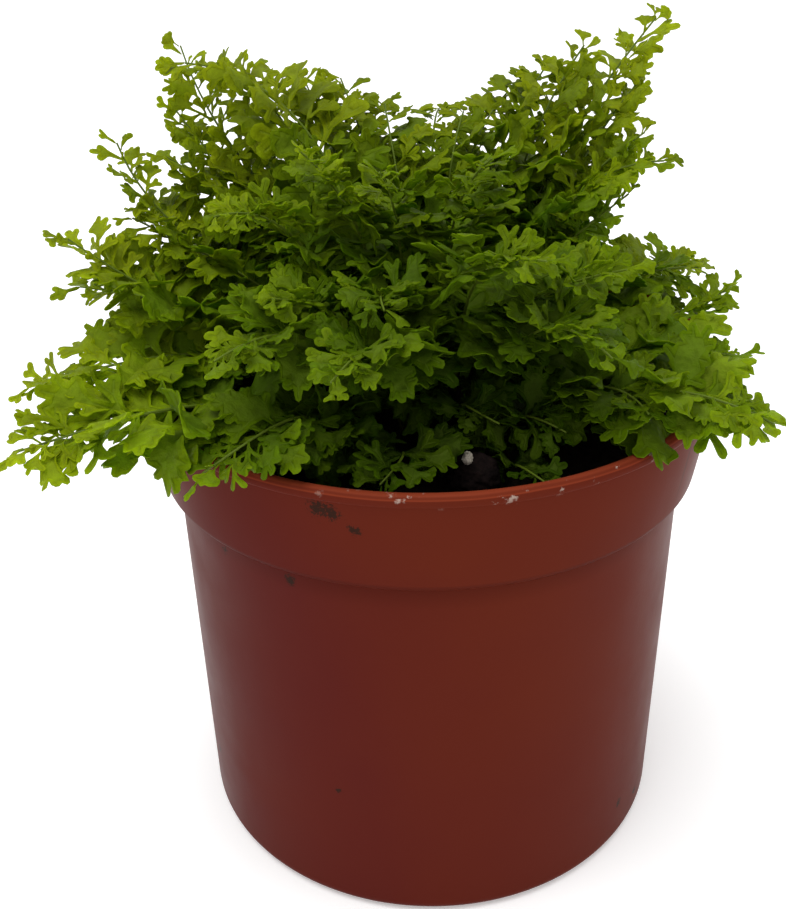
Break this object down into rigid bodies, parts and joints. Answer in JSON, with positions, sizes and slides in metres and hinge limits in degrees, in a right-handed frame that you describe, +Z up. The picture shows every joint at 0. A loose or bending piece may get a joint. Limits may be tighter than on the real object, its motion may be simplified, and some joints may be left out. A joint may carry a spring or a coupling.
{
  "type": "potted lace-leaved boston fern",
  "caption": "Young Boston fern with finely cut, ruffled fronds, growing in compost in a thin round plastic nursery pot with a collar.",
  "frame": {"origin": "middle of the pot's underside, on the surface it stands on", "axes": "+Z up along the pot's axis; -Y towards the front of the picture, +X to the right in it"},
  "size_m": [0.1422, 0.1366, 0.1716],
  "materials": {
    "pot": "satin",
    "compost": "matte",
    "bark": "matte",
    "perlite": "matte",
    "leaf": "satin"
  },
  "bodies": {
    "root": {"pot": "pot", "compost": "compost", "bark_chip": "bark", "perlite_grain": "perlite", "frond_back_dip": "leaf", "frond_back_far": "leaf", "frond_back_left": "leaf", "frond_back_peak": "leaf", "frond_back_right": "leaf", "frond_front_inner": "leaf", "frond_front_left": "leaf", "frond_front_middle": "leaf", "frond_front_right": "leaf", "frond_front_small": "leaf", "frond_left_arm": "leaf", "frond_left_back": "leaf", "frond_left_crest": "leaf", "frond_left_fill": "leaf", "frond_left_hanging": "leaf", "frond_left_inner": "leaf", "frond_left_low": "leaf", "frond_left_middle": "leaf", "frond_left_second": "leaf", "frond_left_shoulder": "leaf", "frond_left_spread": "leaf", "frond_left_sweep": "leaf", "frond_left_tall": "leaf", "frond_left_upper": "leaf", "frond_low_1": "leaf", "frond_low_2": "leaf", "frond_low_3": "leaf", "frond_low_4": "leaf", "frond_low_5": "leaf", "frond_low_6": "leaf", "frond_middle_1": "leaf", "frond_middle_2": "leaf", "frond_middle_3": "leaf", "frond_middle_4": "leaf", "frond_middle_5": "leaf", "frond_middle_6": "leaf", "frond_right_arm": "leaf", "frond_right_back": "leaf", "frond_right_crest": "leaf", "frond_right_drop": "leaf", "frond_right_elbow": "leaf", "frond_right_flank": "leaf", "frond_right_inner": "leaf", "frond_right_second": "leaf", "frond_right_shoulder": "leaf", "frond_right_side": "leaf", "frond_right_sweep": "leaf", "frond_right_tall": "leaf", "frond_right_third": "leaf", "frond_right_wisp": "leaf", "frond_skirt_1": "leaf", "frond_skirt_2": "leaf", "frond_skirt_3": "leaf", "frond_upright_1": "leaf", "frond_upright_2": "leaf", "frond_upright_3": "leaf"}
  },
  "joints": []
}
